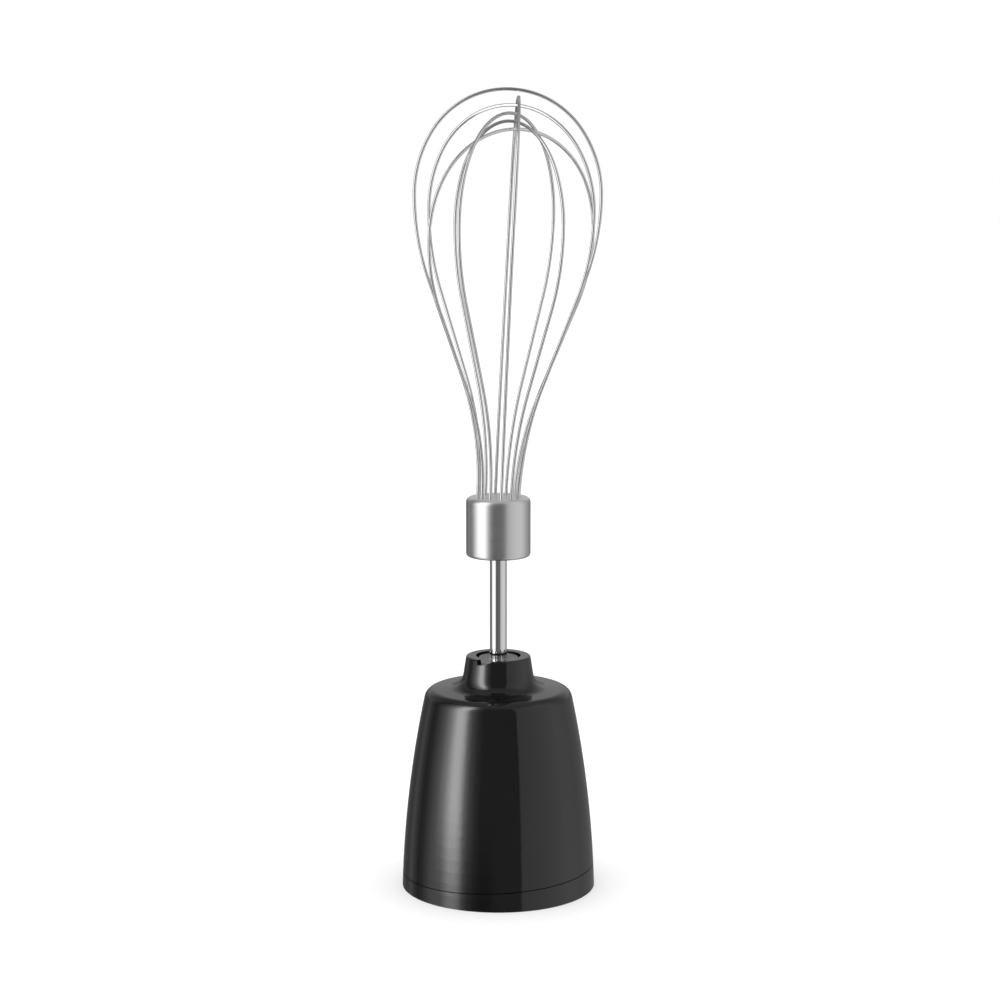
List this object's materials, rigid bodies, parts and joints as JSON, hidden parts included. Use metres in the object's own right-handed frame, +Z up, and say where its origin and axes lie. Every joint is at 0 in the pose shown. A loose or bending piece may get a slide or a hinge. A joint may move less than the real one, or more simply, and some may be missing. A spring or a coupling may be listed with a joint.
{
  "type": "whisk attachment for a hand blender",
  "caption": "Balloon whisk of looped steel wires on a splined shaft, plugged into a black tapered gearbox adapter with a planetary reduction and a bayonet socket.",
  "frame": {"origin": "centre of the rim that the gearbox stands on", "axes": "+Z up along the whisk's axis, from the motor socket towards the wires; -Y is the front, with the seam's high side at +X"},
  "size_m": [0.0596, 0.0582, 0.2382],
  "materials": {
    "housing_black": "high gloss moulded",
    "ring_black": "high gloss moulded",
    "socket_black": "satin moulded",
    "cover_grey": "glass-filled, matt",
    "coupling_black": "glass-filled, matt",
    "natural_plastic": "natural acetal",
    "holder_grey": "moulded",
    "sintered_bronze": "sintered, oiled",
    "bright_steel": "ground",
    "zinc_steel": "zinc plated",
    "spring_steel": "oiled spring steel",
    "polished_steel": "polished stainless",
    "brushed_ferrule": "brushed stainless",
    "whisk_wire": "drawn stainless wire",
    "seal_rubber": "nitrile"
  },
  "bodies": {
    "gearbox": {"gearbox_housing": "housing_black", "base_ring": "ring_black", "gearbox_cover": "cover_grey", "cover_screws": "zinc_steel", "input_bushing": "sintered_bronze", "ring_gear": "natural_plastic", "output_bushing": "sintered_bronze", "output_seal": "seal_rubber"},
    "motor_input": {"drive_coupling": "coupling_black", "input_pinion_shaft": "bright_steel", "input_circlip": "spring_steel", "input_thrust_washer": "bright_steel"},
    "planet_1": {"planet_gear_1": "natural_plastic"},
    "planet_2": {"planet_gear_2": "natural_plastic"},
    "planet_3": {"planet_gear_3": "natural_plastic"},
    "whisk_drive": {"planet_carrier": "natural_plastic", "planet_pins": "bright_steel", "planet_retaining_plate": "bright_steel", "output_thrust_washer": "bright_steel", "output_socket": "socket_black", "socket_cross_pin": "bright_steel", "whisk_retaining_clip": "spring_steel"},
    "whisk": {"whisk_shaft": "polished_steel", "ferrule_cup": "brushed_ferrule", "ferrule_base": "zinc_steel", "wire_holder": "holder_grey", "wire_loop_1": "whisk_wire", "wire_loop_2": "whisk_wire", "wire_loop_3": "whisk_wire", "wire_loop_4": "whisk_wire", "wire_loop_5": "whisk_wire", "wire_loop_6": "whisk_wire"}
  },
  "joints": [
    {"name": "whisk_drive_spin", "type": "hinge", "parent": "gearbox", "child": "whisk_drive", "pos_m": [0, 0, 0.052], "axis": [0, 0, 1], "continuous": true},
    {"name": "motor_input_spin", "type": "hinge", "parent": "gearbox", "child": "motor_input", "pos_m": [0, 0, 0.022], "axis": [0, 0, 1], "continuous": true},
    {"name": "planet_1_spin", "type": "hinge", "parent": "whisk_drive", "child": "planet_1", "pos_m": [0.0105, 0, 0.03], "axis": [0, 0, 1], "continuous": true},
    {"name": "planet_2_spin", "type": "hinge", "parent": "whisk_drive", "child": "planet_2", "pos_m": [-0.00525, 0.00909, 0.03], "axis": [0, 0, 1], "continuous": true},
    {"name": "planet_3_spin", "type": "hinge", "parent": "whisk_drive", "child": "planet_3", "pos_m": [-0.00525, -0.00909, 0.03], "axis": [0, 0, 1], "continuous": true},
    {"name": "whisk_pull_off", "type": "slide", "parent": "whisk_drive", "child": "whisk", "axis": [0, 0, 1], "range_m": [0, 0.024]}
  ],
  "couplings": [
    {"joint": "motor_input_spin", "follows": "whisk_drive_spin", "ratio": 7},
    {"joint": "planet_1_spin", "follows": "whisk_drive_spin", "ratio": -2.4},
    {"joint": "planet_2_spin", "follows": "whisk_drive_spin", "ratio": -2.4},
    {"joint": "planet_3_spin", "follows": "whisk_drive_spin", "ratio": -2.4}
  ]
}
